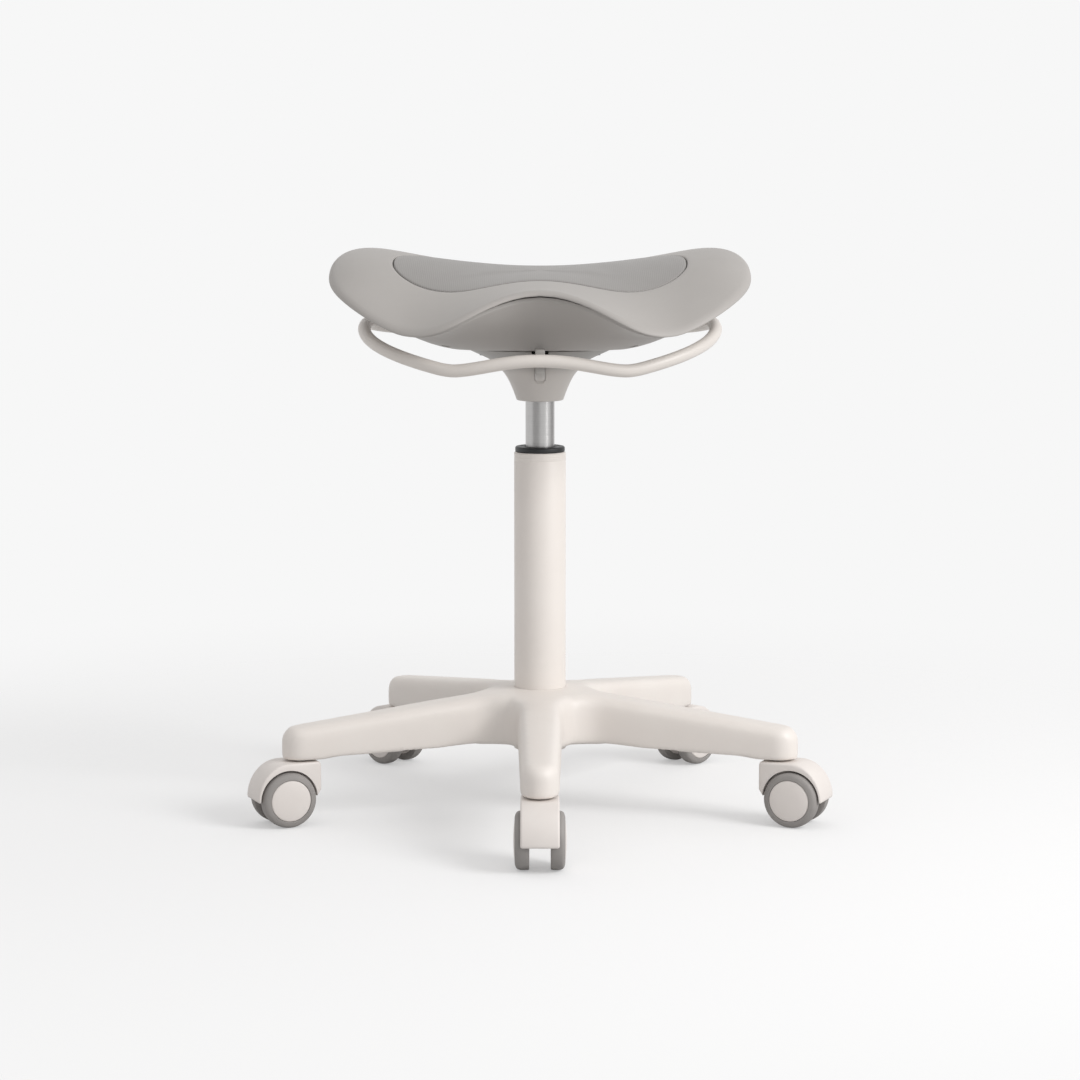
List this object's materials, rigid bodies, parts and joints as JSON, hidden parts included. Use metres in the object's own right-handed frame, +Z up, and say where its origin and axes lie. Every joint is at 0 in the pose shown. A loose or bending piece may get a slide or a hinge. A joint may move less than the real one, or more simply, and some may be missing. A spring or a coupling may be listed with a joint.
{
  "type": "perch stool",
  "caption": "Perch stool with a saddle seat and inset pad on a gas lift, a ring lever round the seat, and a star base on hooded twin-wheel casters.",
  "frame": {"origin": "on the floor, at the middle of the bounding box; the column's axis is 23.3 mm behind it, at y = +0.0233", "axes": "+X to the right seen from the front, +Y to the rear, +Z up; the seat's notched front faces -Y"},
  "size_m": [0.5594, 0.5299, 0.5433],
  "materials": {
    "base_paint": "powder-coated warm white",
    "tube_paint": "powder-coated warm white",
    "caster_plastic": "moulded, warm white",
    "tread": "soft grey",
    "bush_black": "moulded black",
    "bright_steel": "ground and plated",
    "dark_steel": "plain",
    "support_paint": "powder-coated light grey",
    "lever_paint": "powder-coated light grey",
    "seat_plastic": "fine soft grain",
    "seat_fabric": "fine weave"
  },
  "bodies": {
    "base": {"five_star_base": "base_paint", "stand_tube": "tube_paint", "guide_bush": "bush_black", "foot_disc": "dark_steel", "thrust_bearing": "dark_steel"},
    "lift_rod": {"piston_rod": "bright_steel", "retaining_clip": "dark_steel"},
    "seat": {"pressure_tube": "bright_steel", "seat_support": "support_paint", "seat_underpan": "seat_plastic", "seat_shell": "seat_plastic", "seat_pad": "seat_fabric", "pivot_pin": "dark_steel", "support_screw_1": "dark_steel", "support_screw_2": "dark_steel", "support_screw_3": "dark_steel", "support_screw_4": "dark_steel", "underpan_screw_1": "dark_steel", "underpan_screw_2": "dark_steel", "underpan_screw_3": "dark_steel", "underpan_screw_4": "dark_steel"},
    "lever": {"ring_lever": "lever_paint", "lever_arm": "lever_paint"},
    "release": {"release_pin": "dark_steel"},
    "caster_1": {"caster_1_stem": "dark_steel", "caster_1_hood": "caster_plastic", "caster_1_axle": "dark_steel"},
    "wheel_1_a": {"caster_1_core_a": "caster_plastic", "caster_1_tyre_a": "tread"},
    "wheel_1_b": {"caster_1_core_b": "caster_plastic", "caster_1_tyre_b": "tread"},
    "caster_2": {"caster_2_stem": "dark_steel", "caster_2_hood": "caster_plastic", "caster_2_axle": "dark_steel"},
    "wheel_2_a": {"caster_2_core_a": "caster_plastic", "caster_2_tyre_a": "tread"},
    "wheel_2_b": {"caster_2_core_b": "caster_plastic", "caster_2_tyre_b": "tread"},
    "caster_3": {"caster_3_stem": "dark_steel", "caster_3_hood": "caster_plastic", "caster_3_axle": "dark_steel"},
    "wheel_3_a": {"caster_3_core_a": "caster_plastic", "caster_3_tyre_a": "tread"},
    "wheel_3_b": {"caster_3_core_b": "caster_plastic", "caster_3_tyre_b": "tread"},
    "caster_4": {"caster_4_stem": "dark_steel", "caster_4_hood": "caster_plastic", "caster_4_axle": "dark_steel"},
    "wheel_4_a": {"caster_4_core_a": "caster_plastic", "caster_4_tyre_a": "tread"},
    "wheel_4_b": {"caster_4_core_b": "caster_plastic", "caster_4_tyre_b": "tread"},
    "caster_5": {"caster_5_stem": "dark_steel", "caster_5_hood": "caster_plastic", "caster_5_axle": "dark_steel"},
    "wheel_5_a": {"caster_5_core_a": "caster_plastic", "caster_5_tyre_a": "tread"},
    "wheel_5_b": {"caster_5_core_b": "caster_plastic", "caster_5_tyre_b": "tread"}
  },
  "joints": [
    {"name": "seat_swivel", "type": "hinge", "parent": "base", "child": "lift_rod", "pos_m": [0, 0.02329, 0.072], "axis": [0, 0, 1], "continuous": true},
    {"name": "seat_lift", "type": "slide", "parent": "lift_rod", "child": "seat", "axis": [0, 0, 1], "range_m": [-0.038, 0.122]},
    {"name": "lever_pivot", "type": "hinge", "parent": "seat", "child": "lever", "pos_m": [0, -0.00471, 0.436], "axis": [-1, 0, 0], "range_deg": [0, 4], "stiffness_Nm_per_rad": 4, "springref_deg": -5.73},
    {"name": "release_press", "type": "slide", "parent": "seat", "child": "release", "axis": [0, 0, -1], "range_m": [0, 0.002]},
    {"name": "caster_1_swivel", "type": "hinge", "parent": "base", "child": "caster_1", "pos_m": [0, -0.21571, 0.062], "axis": [0, 0, 1], "continuous": true},
    {"name": "wheel_1_a_spin", "type": "hinge", "parent": "caster_1", "child": "wheel_1_a", "pos_m": [0, -0.23471, 0.02647], "axis": [1, 0, 0], "continuous": true},
    {"name": "wheel_1_b_spin", "type": "hinge", "parent": "caster_1", "child": "wheel_1_b", "pos_m": [0, -0.23471, 0.02647], "axis": [1, 0, 0], "continuous": true},
    {"name": "caster_2_swivel", "type": "hinge", "parent": "base", "child": "caster_2", "pos_m": [0.2273, -0.05056, 0.062], "axis": [0, 0, 1], "continuous": true},
    {"name": "wheel_2_a_spin", "type": "hinge", "parent": "caster_2", "child": "wheel_2_a", "pos_m": [0.24452, -0.05859, 0.02647], "axis": [0.4226, 0.9063, 0], "continuous": true},
    {"name": "wheel_2_b_spin", "type": "hinge", "parent": "caster_2", "child": "wheel_2_b", "pos_m": [0.24452, -0.05859, 0.02647], "axis": [0.4226, 0.9063, 0], "continuous": true},
    {"name": "caster_3_swivel", "type": "hinge", "parent": "base", "child": "caster_3", "pos_m": [0.14048, 0.21665, 0.062], "axis": [0, 0, 1], "continuous": true},
    {"name": "wheel_3_a_spin", "type": "hinge", "parent": "caster_3", "child": "wheel_3_a", "pos_m": [0.15368, 0.23031, 0.02647], "axis": [-0.7193, 0.6947, 0], "continuous": true},
    {"name": "wheel_3_b_spin", "type": "hinge", "parent": "caster_3", "child": "wheel_3_b", "pos_m": [0.15368, 0.23031, 0.02647], "axis": [-0.7193, 0.6947, 0], "continuous": true},
    {"name": "caster_4_swivel", "type": "hinge", "parent": "base", "child": "caster_4", "pos_m": [-0.14048, 0.21665, 0.062], "axis": [0, 0, 1], "continuous": true},
    {"name": "wheel_4_a_spin", "type": "hinge", "parent": "caster_4", "child": "wheel_4_a", "pos_m": [-0.15368, 0.23031, 0.02647], "axis": [-0.7193, -0.6947, 0], "continuous": true},
    {"name": "wheel_4_b_spin", "type": "hinge", "parent": "caster_4", "child": "wheel_4_b", "pos_m": [-0.15368, 0.23031, 0.02647], "axis": [-0.7193, -0.6947, 0], "continuous": true},
    {"name": "caster_5_swivel", "type": "hinge", "parent": "base", "child": "caster_5", "pos_m": [-0.2273, -0.05056, 0.062], "axis": [0, 0, 1], "continuous": true},
    {"name": "wheel_5_a_spin", "type": "hinge", "parent": "caster_5", "child": "wheel_5_a", "pos_m": [-0.24452, -0.05859, 0.02647], "axis": [0.4226, -0.9063, 0], "continuous": true},
    {"name": "wheel_5_b_spin", "type": "hinge", "parent": "caster_5", "child": "wheel_5_b", "pos_m": [-0.24452, -0.05859, 0.02647], "axis": [0.4226, -0.9063, 0], "continuous": true}
  ],
  "couplings": [
    {"joint": "release_press", "follows": "lever_pivot", "m_per_rad": 0.028}
  ]
}
